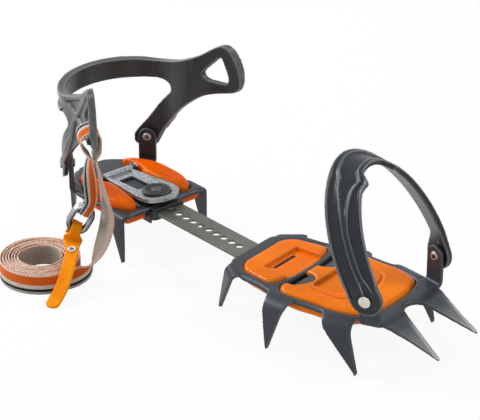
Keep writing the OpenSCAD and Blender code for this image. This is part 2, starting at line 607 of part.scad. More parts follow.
// Fold around the rings: d is the distance from its middle towards the front, h the height above the wire.
function in_fold(d, h) = in_loop(-5.4, -50.3) + ring_face * d - ring_long * h;
leg_path = [in_fold(-1, 12), in_fold(-3.4, 5.5), in_fold(-4.7, -1.4), in_fold(0, -6),
    in_fold(4.7, -1.4), in_fold(3.4, 5.5),
  in_loop(-2.2, -38) + ring_face * 2.9, in_loop(-2.6, -24.5), in_loop(-1.8, -14.5),
      in_loop(-5.4, -8.6), in_loop(-8.2, -2.6), in_loop(-7.8, 3.2),
  in_loop(-3.2, 6.4), in_loop(2.4, 6.2), in_loop(5, 0.6), in_loop(4.4, -7.6), in_loop(1.6, -14.5),
      [6.8, -55.4, 76], [9.4, -54.6, 64],
  [13.4, -55.2, 52], [16.6, -57, 43], [18.8, -61.5, 33.5], [19.8, -68, 23.5], [18.2, -75.6, 13],
      [15.2, -83.6, web_low + 0.2],
  [roll_x + roll_radius * cos(roll_start), roll_y + roll_radius * sin(roll_start), web_low]];
function roll_at(a) = let(r = roll_radius - roll_step * max(a - 15, 0) / 360)
  [roll_x + r * cos(roll_start - a), roll_y + r * sin(roll_start - a), web_low];
leg_count = 25 * 4;
leg_turn = unit([0.995, -0.05, 0]);
function strap_mid(i) = i <= leg_count ? spline(leg_path, i / 4) : roll_at((i - leg_count) * 15);
function strap_width(i) = let(t = i / 4)
  t < 10 ? unit(mix(ring_short, web_dir, ease((t - 5.4) / 3.6)))
    : unit(mix(mix(web_dir, leg_turn, ease((t - 17.2) / 3)), [0, 0, 1], ease((t - 20.6) / 3.8)));
// The strap is gathered where it goes around the rings.
function strap_half(i) = let(t = i / 4) web_width / 2 * (0.5 + 0.12 * ease((t - 4.6) / 2)
    + 0.38 * ease((t - 8) / 2.6));
strap_last = leg_count + round(roll_turns * 24);
function strap_ring(i) =
  let(d = unit(strap_mid(min(i + 1, strap_last)) - strap_mid(max(i - 1, 0))), w0 = strap_width(i),
    w = unit(w0 - d * (w0 * d)), n = cross(d, w), m = strap_mid(i), a = w * strap_half(i),
        b = n * web_thick / 2)
  [m - a - b, m + a - b, m + a + b, m - a + b];
strap_points = [for (i = [0:strap_last]) strap_mid(i)];
function least(pts, apart) = min([for (i = [0:len(pts) - 1]) for (j = [i + apart:1:len(pts) - 1])
    norm(pts[i] - pts[j])]) - web_thick;
echo(strap_gap = least(strap_points, 12));

module strap() {
  color("#c8875a") place_heel() skin([for (i = [0:strap_last]) strap_ring(i)]);
}

ring_half = 9.6;
ring_mid = in_loop(-5.4, -50.3) + ring_long * ring_half;

module oval_ring(length, width, wire) {
  r = width / 2;
  s = length / 2 - r;
  for (m = [0, 1]) mirror([m, 0, 0]) translate([s, 0, 0]) rotate([0, 0,
      -90]) rotate_extrude(angle = 180) translate([r, 0]) circle(wire);
  for (m = [-1, 1]) translate([-s, m * r, 0]) rotate([0, 90, 0]) cylinder(r = wire, h = 2 * s);
}

module ring_place(shift) {
  p = ring_mid + ring_face * shift;
  multmatrix([[ring_long[0], ring_short[0], ring_face[0], p[0]], [ring_long[1], ring_short[1],
      ring_face[1], p[1]],
    [ring_long[2], ring_short[2], ring_face[2], p[2]], [0, 0, 0, 1]]) children();
}

module buckle_ring_upper() {
  color("#c0c4c8") place_heel() ring_place(1.8) oval_ring(2 * ring_half, 13, 1.4);
}

module buckle_ring_lower() {
  color("#c0c4c8") place_heel() ring_place(-1.8) oval_ring(2 * ring_half, 13, 1.4);
}

ring_end = ring_mid + ring_long * ring_half;
tab_path = [ring_end - ring_face * 4.9 + ring_long * 7, ring_end - ring_face * 5,
  ring_end - ring_face * 3 - ring_long * 4.6, ring_end + ring_face * 3 - ring_long * 4.6,
  ring_end + ring_face * 5.6 + ring_long * 0.4 + ring_short * 1.2,
  ring_end + ring_face * 6.2 + ring_long * 5.4 + ring_short * 2.2,
  [9, -82, 25.6], [16.8, -91.2, 19.6], [22.4, -101.2, 9.8], [25.4, -109.5, 3.8], [28.6, -116.2, 1.5]];
tab_last = len(tab_path) - 1;
tab_turn = unit([0.85, 0.53, 0]);
function tab_half(t) = t < 3.8 ? 3.6
  : t < 4.7 ? mix(3.6, 6.8, ease((t - 3.8) / 0.9))
  : t < 6 ? mix(6.8, 4.6, ease((t - 4.7) / 1.3))
  : t > tab_last - 0.7 ? 4.9 * sqrt(max(1 - pow((t - tab_last + 0.7) / 0.71, 2), 0.03))
  : mix(4.6, 4.9, (t - 6) / 4);
function tab_side(t) = mix(ring_short, tab_turn, ease((t - 4) / 2.5));
function tab_dir(t) = unit(spline(tab_path, min(t + 0.05, tab_last)) - spline(tab_path, max(t - 0.05, 0)));
function tab_ring(t) =
  let(d = tab_dir(t), w0 = tab_side(t), w = unit(w0 - d * (w0 * d)), n = cross(w, d),
      m = spline(tab_path, t),
    a = w * tab_half(t), b = n * 1.1)
  [m - a + b, m + a + b, m + a - b, m - a - b];
eye_t = 6;
eye_mid = spline(tab_path, eye_t);
eye_axis = let(d = tab_dir(eye_t), w0 = tab_side(eye_t)) unit(cross(w0 - d * (w0 * d), d));

module eye_place() {
  translate(eye_mid) rotate([0, acos(eye_axis[2]), atan2(eye_axis[1], eye_axis[0])]) children();
}

module pull_tab() {
  color("#fa8c14") place_heel() difference() {
    skin([for (i = [0:tab_last * 8]) tab_ring(i / 8)]);
    eye_place() cylinder(r = 2.2, h = 20, center = true);
  }
}

module pull_tab_eyelet() {
  color("#c8c8c4") place_heel() eye_place() rotate_extrude() polygon([[1.4, -1.7], [2.9, -1.7],
      [2.9, -1.25], [2.2, -1.2], [2.2, 1.2],
    [2.9, 1.25], [2.9, 1.7], [1.4, 1.7]]);
}

front_frame();
front_antiball_plate();
linking_bar();
toe_cradle();
toe_rivet_right();
toe_rivet_left();
heel_frame();
heel_antiball_plate();
bar_guide();
length_latch();
latch_knob();
latch_pin();
latch_pivot_pin();
heel_cradle();
heel_rivet_right();
heel_rivet_left();
strap();
buckle_ring_upper();
buckle_ring_lower();
pull_tab();
pull_tab_eyelet();
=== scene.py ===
# Mountaineering crampon: materials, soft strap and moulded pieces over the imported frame.
from math import cos, pi, radians, sin, sqrt

import bmesh
import bpy
from mathutils import Color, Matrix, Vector, kdtree


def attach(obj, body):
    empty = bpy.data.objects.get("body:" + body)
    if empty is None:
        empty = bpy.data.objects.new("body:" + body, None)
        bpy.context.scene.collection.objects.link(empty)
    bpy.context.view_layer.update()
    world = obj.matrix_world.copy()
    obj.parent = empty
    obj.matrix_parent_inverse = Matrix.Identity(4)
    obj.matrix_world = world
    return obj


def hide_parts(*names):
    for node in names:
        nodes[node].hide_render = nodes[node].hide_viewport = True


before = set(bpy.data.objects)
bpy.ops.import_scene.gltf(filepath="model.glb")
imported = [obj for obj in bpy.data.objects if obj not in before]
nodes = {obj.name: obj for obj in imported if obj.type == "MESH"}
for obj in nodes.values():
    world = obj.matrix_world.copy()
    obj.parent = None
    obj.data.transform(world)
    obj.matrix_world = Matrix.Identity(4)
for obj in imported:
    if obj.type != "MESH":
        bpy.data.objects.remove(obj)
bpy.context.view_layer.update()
scene = bpy.context.scene
print("frame loaded:", len(nodes), "nodes")

# Places shared with the solids, in metres: the heel's pin hole and the rear end of the front frame, which
# is turned in plan against the heel.
heelAt = Vector((-0.094343, -0.00182, 0))
frontAt = Vector((0.003157, -0.00182, 0))
toeTurn = radians(10.7)
frontAlong = Vector((cos(toeTurn), sin(toeTurn), 0))
frontAcross = Vector((-sin(toeTurn), cos(toeTurn), 0))
upward = Vector((0, 0, 1))
millimetre = 0.001
fullTurn = 360


def addObject(name, data):
    made = bpy.data.objects.new(name, data)
    scene.collection.objects.link(made)
    return made


def meshFrom(shape, name):
    mesh = bpy.data.meshes.new(name)
    shape.to_mesh(mesh)
    shape.free()
    return mesh


def shadeSmooth(mesh):
    for polygon in mesh.polygons:
        polygon.use_smooth = True


def aimBack(thing, back):
    thing.rotation_euler = back.to_track_quat("Z", "Y").to_euler()


# From 0 to 1 over a length, with a soft start and end.
def easeFrom(value, start, length):
    part = min(max((value - start) / length, 0.0), 1.0)
    return part * part * (3 - 2 * part)


cameraSet = {"target": (-0.049913, 0.03742, 0.030), "azimuth": 49.03, "elevation": 26.55,
             "distance": 1.5495, "lens": 165, "sensor": 36, "clipEnd": 20}


def makeCamera(own):
    azimuth = radians(own["azimuth"])
    elevation = radians(own["elevation"])
    back = Vector((sin(azimuth) * cos(elevation), -cos(azimuth) * cos(elevation), sin(elevation)))
    data = bpy.data.cameras.new("camera")
    data.lens = own["lens"]
    data.sensor_width = own["sensor"]
    data.clip_end = own["clipEnd"]
    camera = addObject("camera", data)
    camera.location = Vector(own["target"]) + back * own["distance"]
    aimBack(camera, back)
    scene.camera = camera
    print("camera at", [round(v, 3) for v in camera.location])


makeCamera(cameraSet)


# Shader maths as plain expressions: a Flow is a socket with operators.
class Flow:
    def __init__(self, graph, socket):
        self.graph = graph
        self.socket = socket

    def math(self, operation, other=0.0, swap=False):
        first, second = (other, self) if swap else (self, other)
        return self.graph.node("Math", {"operation": operation}, {0: first, 1: second})

    def __add__(self, other):
        return self.math("ADD", other)

    def __radd__(self, other):
        return self.math("ADD", other, True)

    def __sub__(self, other):
        return self.math("SUBTRACT", other)

    def __rsub__(self, other):
        return self.math("SUBTRACT", other, True)

    def __mul__(self, other):
        return self.math("MULTIPLY", other)

    def __rmul__(self, other):
        return self.math("MULTIPLY", other, True)


rampMiddle = 0.5


# A node tree: every node comes from its node method, with the settings first and then the sockets.
class Graph:
    def __init__(self, tree):
        self.tree = tree

    def feed(self, socket, value):
        if isinstance(value, Flow):
            self.tree.links.new(value.socket, socket)
        else:
            socket.default_value = value

    def node(self, kind, settings, sockets, output=0):
        made = self.tree.nodes.new("ShaderNode" + kind)
        for key, value in settings.items():
            if key == "stops":
                elements = made.color_ramp.elements
                while len(elements) < len(value):
                    elements.new(rampMiddle)
                for element, (at, colour) in zip(elements, value):
                    element.position = at
                    element.color = colour
            else:
                setattr(made, key, value)
        for key, value in sockets.items():
            self.feed(made.inputs[key], value)
        return Flow(self, made.outputs[output])


fullTone = 255
noiseRoughness = 0.55
noiseMiddle = 0.5
noiseRange = (0.3, 0.7)
bevelSamples = 8


# A material under way. Distances are in metres, and places are in object coordinates.
class Finish(Graph):
    def __init__(self, name, fixed):
        self.material = bpy.data.materials.new(name)
        self.material.use_nodes = True
        super().__init__(self.material.node_tree)
        self.shader = self.tree.nodes["Principled BSDF"]
        self.link(fixed)
        self.place = self.node("TexCoord", {}, {}, "Object")

    def link(self, inputs):
        for key, value in inputs.items():
            self.feed(self.shader.inputs[key], value)
        return self.material

    def normal(self):
        return self.node("NewGeometry", {}, {}, "Normal")

    def attribute(self, name):
        return self.node("Attribute", {"attribute_name": name}, {}, "Fac")

    def noise(self, scale, detail, place=None):
        sockets = {"Vector": place or self.place, "Scale": scale, "Detail": detail,
                   "Roughness": noiseRoughness}
        return self.node("TexNoise", {}, sockets)

    def streaks(self, stretch, detail, turn=0.0):
        sockets = {"Vector": self.place, "Rotation": (0, 0, turn), "Scale": stretch}
        return self.noise(1, detail, self.node("Mapping", {}, sockets))

    def ramp(self, share, stops):
        return self.node("ValToRGB", {"stops": stops}, {"Fac": share})

    def span(self, value, low, high, toLow=0.0, toHigh=1.0):
        return self.node("MapRange", {}, {0: value, 1: low, 2: high, 3: toLow, 4: toHigh})

    def spread(self, noise, toLow=0.0, toHigh=1.0):
        return self.span(noise, *noiseRange, toLow, toHigh)

    # The sockets of a colour mix go by number, because their names repeat.
    def blend(self, share, first, second, mode="MIX"):
        settings = {"data_type": "RGBA", "blend_type": mode}
        return self.node("Mix", settings, {0: share, 6: first, 7: second}, 2)

    def dot(self, first, second):
        return self.node("VectorMath", {"operation": "DOT_PRODUCT"}, {0: first, 1: second}, "Value")

    # How far the surface lies past a place
    def beyond(self, start, way):
        return self.dot(self.place, tuple(way)) - start.dot(way)

    def rounded(self, radius):
        return self.node("Bevel", {"samples": bevelSamples}, {"Radius": radius})

    # 1 on sharp edges, where the rounded normal leaves the flat one
    def edge(self, radius, low=0.80, high=0.97):
        return 1 - self.span(self.dot(self.rounded(radius), self.normal()), low, high)

    # 1 on the outward edges of a dense piece
    def ridge(self, low, high):
        return self.span(self.node("NewGeometry", {}, {}, "Pointiness"), low, high)

    # 1 in the inward corners of a dense piece
    def hollow(self, low, high):
        return 1 - self.ridge(low, high)

    def bump(self, height, strength, distance, normal=None):
        sockets = {"Height": height, "Strength": strength, "Distance": distance}
        if normal:
            sockets["Normal"] = normal
        return self.node("Bump", {}, sockets)


def tone(red, green, blue, share=1.0):
    colour = Color([channel * share / fullTone for channel in (red, green, blue)])
    return (*colour.from_srgb_to_scene_linear(), 1.0)


# In the settings of a finish, a noise is its scale and detail, streaks are their stretch, detail and turn,
# a range is what span takes, a bump is its strength and height, and tones are sRGB from 0 to 255.
steelSet = {
    "fixed": {"Metallic": 0.45, "Specular IOR Level": 0.35},
    "clouds": (45, 4), "shades": (0.88, 1.1), "rough": (0.34, 0.44), "grain": (900, 2), "grainRough": 0.06,
    "wear": (160, 3), "wearRange": (0.3, 0.6, 0.35, 1.0), "wearAndHighlightRidge": (0.51, 0.57), "wearAndHighlightShare": 0.5,
    "wearAndHighlightTone": (140, 142, 144), "ripples": (700, 3), "rippleBump": (0.06, 0.0004),
}

# Front points: the ground faces start a distance along the front frame, and a band beside each whetted edge
# is brighter, partly as ground steel and partly as a painted highlight of its bevel. An edge is its two
# ends, along and across the front frame.
pointSet = {
    "from": (0.150, 0.172), "ragged": 0.014, "upRange": (0.5, 0.8),
    "streaks": ((60, 1400, 60), 3, -toeTurn), "streakRange": (0.3, 0.6, 0.5, 1.0),
    "share": 0.75, "tone": (150, 150, 148), "smoother": 0.06,
    "whetEdges": (((0.140, -0.0108), (0.170, -0.0206)), ((0.140, 0.0299), (0.170, 0.0234))),
    "whetBand": (-0.0038, -0.00285), "whetPast": (0.002, 0.004, 1.0, 0.0), "whetFrom": (0.138, 0.152),
    "whetUpRange": (0.4, 0.7), "whetStreakRange": (0.3, 0.6, 0.6, 1.0), "whetAndHighlightShare": 0.65,
    "whetAndHighlightTone": (174, 176, 176),
}


def grindPoints(look, cloud, colour, rough):
    own = pointSet
    along = look.beyond(frontAt, frontAlong)
    rising = look.node("SeparateXYZ", {}, {"Vector": look.normal()}, "Z")
    streak = look.streaks(*own["streaks"])
    ground = look.span(along + cloud * own["ragged"], *own["from"]) * look.span(rising, *own["upRange"])
    ground = ground * look.span(streak, *own["streakRange"])
    colour = look.blend(ground * own["share"], colour, tone(*own["tone"]))
    for ends in own["whetEdges"]:
        start, end = (frontAt + frontAlong * u + frontAcross * v for u, v in ends)
        outward = Vector((start.y - end.y, end.x - start.x, 0)).normalized()
        beyond = look.beyond(start, outward)
        # Whetted band: ground steel with a painted highlight on its bevel.
        whetAndHighlightBand = look.span(beyond, *own["whetBand"]) * look.span(beyond, *own["whetPast"])
        whetAndHighlightBand = whetAndHighlightBand * look.span(along, *own["whetFrom"]) * look.span(rising, *own["whetUpRange"])
        whetAndHighlightBand = whetAndHighlightBand * look.span(streak, *own["whetStreakRange"])
        colour = look.blend(whetAndHighlightBand * own["whetAndHighlightShare"], colour, tone(*own["whetAndHighlightTone"]))
    return colour, rough - ground * own["smoother"]


def frameSteel(name, base, hasFrontPoints):
    own = steelSet
    look = Finish(name, own["fixed"])
    cloud = look.noise(*own["clouds"])
    darker, paler = (tone(*base, share) for share in own["shades"])
    colour = look.blend(look.spread(cloud), darker, paler)
    # Wear and painted highlight: the outward edges are paler in patches.
    wearAndPaintedLight = look.ridge(*own["wearAndHighlightRidge"]) * look.span(look.noise(*own["wear"]), *own["wearRange"])
    colour = look.blend(wearAndPaintedLight * own["wearAndHighlightShare"], colour, tone(*own["wearAndHighlightTone"]))
    rough = look.spread(cloud, *own["rough"]) + look.noise(*own["grain"]) * own["grainRough"]
    if hasFrontPoints:
        colour, rough = grindPoints(look, cloud, colour, rough)
    normal = look.bump(look.noise(*own["ripples"]), *own["rippleBump"])
    return look.link({"Base Color": colour, "Roughness": rough, "Normal": normal})


orangeSet = {
    "coatRoughness": 0.1, "clouds": (30, 3), "rough": (0.24, 0.32),
    "scuffs": ((240, 60, 200), 5, 0.6), "scuffRange": (0.58, 0.72), "scuffShare": 0.18,
    "scuffTone": (250, 150, 70), "scuffRough": 0.15,
    "rimHighlightRidge": (0.505, 0.55), "rimShare": 0.4, "rimHighlightTone": (255, 150, 46), "rimCoat": 0.5,
    "cornerShadeHollow": (0.44, 0.49), "cornerShadeShare": 0.55, "cornerShadeTone": (196, 70, 0),
    "grain": (1300, 2), "grainBump": (0.05, 0.0003),
}


def orangePlastic(name, deep, light, coat):
    own = orangeSet
    look = Finish(name, {"Specular IOR Level": coat, "Coat Roughness": own["coatRoughness"]})
    cloud = look.noise(*own["clouds"])
    colour = look.blend(look.spread(cloud), tone(*deep), tone(*light))
    scuff = look.span(look.streaks(*own["scuffs"]), *own["scuffRange"])
    colour = look.blend(scuff * own["scuffShare"], colour, tone(*own["scuffTone"]))
    # Painted highlight: the outward edges are lighter orange and carry more coat.
    rimHighlight = look.ridge(*own["rimHighlightRidge"])
    colour = look.blend(rimHighlight * own["rimShare"], colour, tone(*own["rimHighlightTone"]))
    # Painted shade in the inward corners.
    corner = look.hollow(*own["cornerShadeHollow"]) * own["cornerShadeShare"]
    colour = look.blend(corner, colour, tone(*own["cornerShadeTone"]))
    rough = look.spread(cloud, *own["rough"]) + scuff * own["scuffRough"]
    normal = look.bump(look.noise(*own["grain"]), *own["grainBump"])
    look.link({"Coat Weight": rimHighlight * own["rimCoat"] + coat})
    return look.link({"Base Color": colour, "Roughness": rough, "Normal": normal})


cradleSet = {
    "fixed": {"Specular IOR Level": 0.36}, "clouds": (40, 4), "shades": (0.9, 1.12), "rough": (0.28, 0.36),
    "scuffs": ((300, 90, 120), 6, 0.3), "scuffRange": (0.6, 0.75), "scuffShare": 0.25,
    "scuffTone": (96, 99, 102), "scuffRough": 0.12,
    "rimHighlightRidge": (0.504, 0.535), "rimShare": 0.75, "rimHighlightTone": (138, 143, 149),
    "cornerShadeHollow": (0.455, 0.495), "cornerShadeShare": 0.6, "cornerShade": 0.5,
    "grain": (1600, 2), "grainBump": (0.08, 0.0003), "rounding": 0.0012,
}

# The heel cradle's outer side, which faces away from the middle of the heel, is painted paler than its
# inner side as painted light, in patches, and its inward corners get painted shade.
outerSet = {
    "middle": (-0.128, -0.0018, 0.1), "outRange": (0.006, 0.04), "patches": (220, 5),
    "patchRange": (0.3, 0.65, 0.4, 1.0), "share": 0.52, "tone": (124, 127, 124),
    "cornerShadeHollow": (0.46, 0.498), "cornerShadeShare": 0.5, "cornerShade": 0.6,
}


def paintLightOnOuterSide(look, base, colour):
    own = outerSet
    outward = look.node("VectorMath", {"operation": "SUBTRACT"}, {0: look.place, 1: own["middle"]})
    # Painted light: the side facing outward is paler, in patches.
    wearAndPaintedLight = look.span(look.dot(outward, look.normal()), *own["outRange"])
    wearAndPaintedLight = wearAndPaintedLight * look.span(look.noise(*own["patches"]), *own["patchRange"])
    colour = look.blend(wearAndPaintedLight * own["share"], colour, tone(*own["tone"]))
    # Painted shade in the inward corners.
    corner = look.hollow(*own["cornerShadeHollow"]) * own["cornerShadeShare"]
    return look.blend(corner, colour, tone(*base, own["cornerShade"]))


def cradlePlastic(name, base, paintedLightOutside):
    own = cradleSet
    look = Finish(name, own["fixed"])
    cloud = look.noise(*own["clouds"])
    darker, paler = (tone(*base, share) for share in own["shades"])
    colour = look.blend(look.spread(cloud), darker, paler)
    scuff = look.span(look.streaks(*own["scuffs"]), *own["scuffRange"])
    colour = look.blend(scuff * own["scuffShare"], colour, tone(*own["scuffTone"]))
    # Painted highlight: the outward edges and ribs are paler.
    rimHighlight = look.ridge(*own["rimHighlightRidge"]) * own["rimShare"]
    colour = look.blend(rimHighlight, colour, tone(*own["rimHighlightTone"]))
    # Painted shade in the inward corners.
    corner = look.hollow(*own["cornerShadeHollow"]) * own["cornerShadeShare"]
    colour = look.blend(corner, colour, tone(*base, own["cornerShade"]))
    if paintedLightOutside:
        colour = paintLightOnOuterSide(look, base, colour)
    rough = look.spread(cloud, *own["rough"]) + scuff * own["scuffRough"]
    normal = look.bump(look.noise(*own["grain"]), *own["grainBump"], look.rounded(own["rounding"]))
    return look.link({"Base Color": colour, "Roughness": rough, "Normal": normal})


stripSet = {
    "specular": 0.5, "streaks": ((40, 1500, 1500), 4), "clouds": (60, 4), "cloudShare": 0.6,
    "shadeRange": (0.55, 1.05), "shades": (0.86, 1.12), "specks": (420, 5), "speckRange": (0.46, 0.62),
    "speckShade": 0.62, "hookFade": 0.004, "hookShadeShare": 0.9, "hookShadeTone": (58, 60, 62),
    "edgeRadius": 0.0006, "edgeShare": 0.5, "smoother": 0.05, "rougher": 0.08,
    "streakBump": (0.05, 0.0002), "rounding": 0.0005,
}


# Rolled strip with streaks along X. The bar is painted dark from its hook on, as painted shade, and the
# latch is speckled.
def stripSteel(name, base, roughness, metallic, edgeTone, hookFrom=None, speckle=None):
    own = stripSet
    look = Finish(name, {"Metallic": metallic, "Specular IOR Level": own["specular"]})
    streak = look.streaks(*own["streaks"])
    darker, paler = (tone(*base, share) for share in own["shades"])
    mottle = streak + look.noise(*own["clouds"]) * own["cloudShare"]
    colour = look.blend(look.span(mottle, *own["shadeRange"]), darker, paler)
    if speckle:
        specks = look.span(look.noise(*own["specks"]), *own["speckRange"])
        colour = look.blend(specks * speckle, colour, tone(*base, own["speckShade"]))
    # Painted shade: the bar is darker from its hook on.
    if hookFrom:
        hookShade = look.span(look.beyond(frontAt, frontAlong), hookFrom, hookFrom + own["hookFade"])
        colour = look.blend(hookShade * own["hookShadeShare"], colour, tone(*own["hookShadeTone"]))
    colour = look.blend(look.edge(own["edgeRadius"]) * own["edgeShare"], colour, tone(*edgeTone))
    rough = look.spread(streak, roughness - own["smoother"], roughness + own["rougher"])
    normal = look.bump(streak, *own["streakBump"], look.rounded(own["rounding"]))
    return look.link({"Base Color": colour, "Roughness": rough, "Normal": normal})


brightSet = {
    "fixed": {"Metallic": 1.0}, "clouds": (260, 4), "cloudRange": (0.35, 0.65), "darker": 0.9,
    "rougher": 0.12, "grain": (900, 2), "grainBump": (0.08, 0.0002), "rounding": 0.0004,
    "lightWay": (0.3, -0.5, 0.81), "lightRange": (0.6, 0.96), "reflectionDarkTone": (62, 67, 74),
}


# Bare steel. Polished wire gets a painted reflection: bright where it faces a fixed light direction and
# painted dark elsewhere, by the share given.
def brightSteel(name, base, roughness, paintedReflectionShare=0.0):
    own = brightSet
    look = Finish(name, own["fixed"])
    cloud = look.noise(*own["clouds"])
    colour = look.blend(look.span(cloud, *own["cloudRange"]), tone(*base, own["darker"]), tone(*base))
    # Painted reflection: the wire is darker away from a fixed light direction.
    if paintedReflectionShare:
        toLight = look.dot(look.normal(), own["lightWay"])
        paintedReflectionDark = look.span(toLight, *own["lightRange"], paintedReflectionShare, 0.0)
        colour = look.blend(paintedReflectionDark, colour, tone(*own["reflectionDarkTone"]))
    rough = look.spread(cloud, roughness, roughness + own["rougher"])
    normal = look.bump(look.noise(*own["grain"]), *own["grainBump"], look.rounded(own["rounding"]))
    return look.link({"Base Color": colour, "Roughness": rough, "Normal": normal})


blackSet = {
    "fixed": {"Specular IOR Level": 0.5}, "clouds": (120, 3), "deep": (26, 28, 30), "light": (44, 46, 48),
    "edgeRadius": 0.0006, "edgeShare": 0.4, "edgeTone": (92, 94, 96), "rough": (0.38, 0.5),
    "grain": (1700, 2), "grainBump": (0.12, 0.0003), "rounding": 0.0006,
}


def blackPlastic(name):
    own = blackSet
    look = Finish(name, own["fixed"])
    cloud = look.noise(*own["clouds"])
    colour = look.blend(look.spread(cloud), tone(*own["deep"]), tone(*own["light"]))
    colour = look.blend(look.edge(own["edgeRadius"]) * own["edgeShare"], colour, tone(*own["edgeTone"]))
    rough = look.spread(cloud, *own["rough"])
    normal = look.bump(look.noise(*own["grain"]), *own["grainBump"], look.rounded(own["rounding"]))
    return look.link({"Base Color": colour, "Roughness": rough, "Normal": normal})


# What the strap's mesh carries for its material: place across, metres along, and 1 on the striped face.
stripLayers = ("across", "along", "face")

# Stripes and the plain back are places across the webbing, from 0 to 1, with their tones.
webbingSet = {
    "fixed": {"Specular IOR Level": 0.15, "Sheen Weight": 0.12, "Sheen Roughness": 0.5},
    "stripes": (((0.0, 0.13), (186, 184, 180)), ((0.15, 0.27), (34, 34, 38)),
                ((0.29, 0.46), (230, 214, 198)), ((0.48, 0.90), (228, 102, 12)),
                ((0.92, 1.0), (244, 222, 208))),
    "back": ((0.0, (192, 181, 170)), (0.5, (178, 165, 152)), (1.0, (202, 183, 168))),
    "wobble": (1500, 2), "wobbleWidth": 0.03, "faceRange": (0.4, 0.6),
    "rimRange": (0.955, 0.975), "rimShare": 0.8, "rimFlecks": (1300, 2), "rimFleckRange": (0.44, 0.56),
    "rimOrange": (226, 126, 66), "rimWhite": (254, 240, 228),
    "ribLength": 0.00135, "ribShare": 0.7, "twillSlant": 60, "twillShare": 0.3, "weaveShades": (0.66, 1.08),
    "flecks": (2600, 1), "fleckShades": (0.86, 1.08), "fleckHeight": 0.8, "weaveBump": (0.55, 0.0004),
    "rough": (0.72, 0.9),
}


def stripedWebbing(name):
    own = webbingSet
    look = Finish(name, own["fixed"])
    across, along, face = (look.attribute(layer) for layer in stripLayers)
    wobbly = across + (look.noise(*own["wobble"]) - noiseMiddle) * own["wobbleWidth"]
    stripes = look.ramp(wobbly, [(at, tone(*colour)) for ends, colour in own["stripes"] for at in ends])
    back = look.ramp(wobbly, [(at, tone(*colour)) for at, colour in own["back"]])
    colour = look.blend(look.span(face, *own["faceRange"]), back, stripes)
    flecked = look.span(look.noise(*own["rimFlecks"]), *own["rimFleckRange"])
    selvage = look.blend(flecked, tone(*own["rimOrange"]), tone(*own["rimWhite"]))
    colour = look.blend(look.span(across, *own["rimRange"]) * own["rimShare"], colour, selvage)
    phase = along * (2 * pi / own["ribLength"])
    twill = (phase + across * own["twillSlant"]).math("SINE")
    weave = phase.math("SINE") * own["ribShare"] + twill * own["twillShare"]
    fleck = look.noise(*own["flecks"])
    shade = look.span(weave, -1, 1, *own["weaveShades"]) * look.spread(fleck, *own["fleckShades"])
    shades = look.node("CombineXYZ", {}, {"X": shade, "Y": shade, "Z": shade})
    colour = look.blend(1.0, colour, shades, "MULTIPLY")
    rough = look.spread(fleck, *own["rough"])
    normal = look.bump(weave + fleck * own["fleckHeight"], *own["weaveBump"])
    return look.link({"Base Color": colour, "Roughness": rough, "Normal": normal})


tabSet = {
    "fixed": {"Specular IOR Level": 0.08}, "clouds": (90, 4), "deep": (244, 136, 2), "light": (254, 156, 8),
    "grain": ((900, 900, 900), 3, 0.9), "grainBump": (0.2, 0.0004), "rough": (0.42, 0.58),
}


def tabPlastic(name):
    own = tabSet
    look = Finish(name, own["fixed"])
    colour = look.blend(look.spread(look.noise(*own["clouds"])), tone(*own["deep"]), tone(*own["light"]))
    grain = look.streaks(*own["grain"])
    rough = look.spread(grain, *own["rough"])
    normal = look.bump(grain, *own["grainBump"])
    return look.link({"Base Color": colour, "Roughness": rough, "Normal": normal})


finishes = {
    "frameSteel": frameSteel("frameSteel", (59, 63, 69), hasFrontPoints=True),
    "heelSteel": frameSteel("heelSteel", (58, 62, 68), hasFrontPoints=False),
    "frontOrange": orangePlastic("frontOrange", (236, 109, 0), (249, 131, 3), coat=0.045),
    "heelOrange": orangePlastic("heelOrange", (224, 84, 0), (240, 102, 1), coat=0.03),
    "toePlastic": cradlePlastic("toePlastic", (31, 36, 43), paintedLightOutside=False),
    "heelPlastic": cradlePlastic("heelPlastic", (49, 48, 47), paintedLightOutside=True),
    "barSteel": stripSteel("barSteel", (112, 115, 104), roughness=0.42, metallic=0.6,
                           edgeTone=(160, 162, 156), hookFrom=0.046),
    "latchMetal": stripSteel("latchMetal", (178, 182, 185), roughness=0.40, metallic=0.5,
                             edgeTone=(206, 208, 210), speckle=0.5),
    "brightSteel": brightSteel("brightSteel", (222, 217, 208), roughness=0.24),
    "ringSteel": brightSteel("ringSteel", (214, 219, 224), roughness=0.1, paintedReflectionShare=0.8),
    "dullSteel": brightSteel("dullSteel", (178, 168, 162), roughness=0.45),
    "pinSteel": brightSteel("pinSteel", (124, 122, 120), roughness=0.34),
    "blackPlastic": blackPlastic("blackPlastic"),
    "webbing": stripedWebbing("webbing"),
    "tabPlastic": tabPlastic("tabPlastic"),
}
print("finishes:", ", ".join(finishes))

nodeFinish = {
    "front_frame": "frameSteel", "heel_frame": "heelSteel", "front_antiball_plate": "frontOrange",
    "heel_antiball_plate": "heelOrange", "linking_bar": "barSteel", "toe_cradle": "toePlastic",
    "heel_cradle": "heelPlastic", "toe_rivet_right": "brightSteel", "toe_rivet_left": "dullSteel",
    "heel_rivet_right": "pinSteel", "heel_rivet_left": "dullSteel", "bar_guide": "blackPlastic",
    "length_latch": "latchMetal", "latch_knob": "blackPlastic", "latch_pin": "pinSteel",
    "latch_pivot_pin": "brightSteel", "strap": "webbing", "buckle_ring_upper": "ringSteel",
    "buckle_ring_lower": "ringSteel", "pull_tab": "tabPlastic", "pull_tab_eyelet": "brightSteel",
}


def dress(piece, nodeName):
    piece.data.materials.clear()
    piece.data.materials.append(finishes[nodeFinish[nodeName]])


for nodeName, finishName in nodeFinish.items():
    for slot in nodes[nodeName].material_slots:
        slot.material = finishes[finishName]

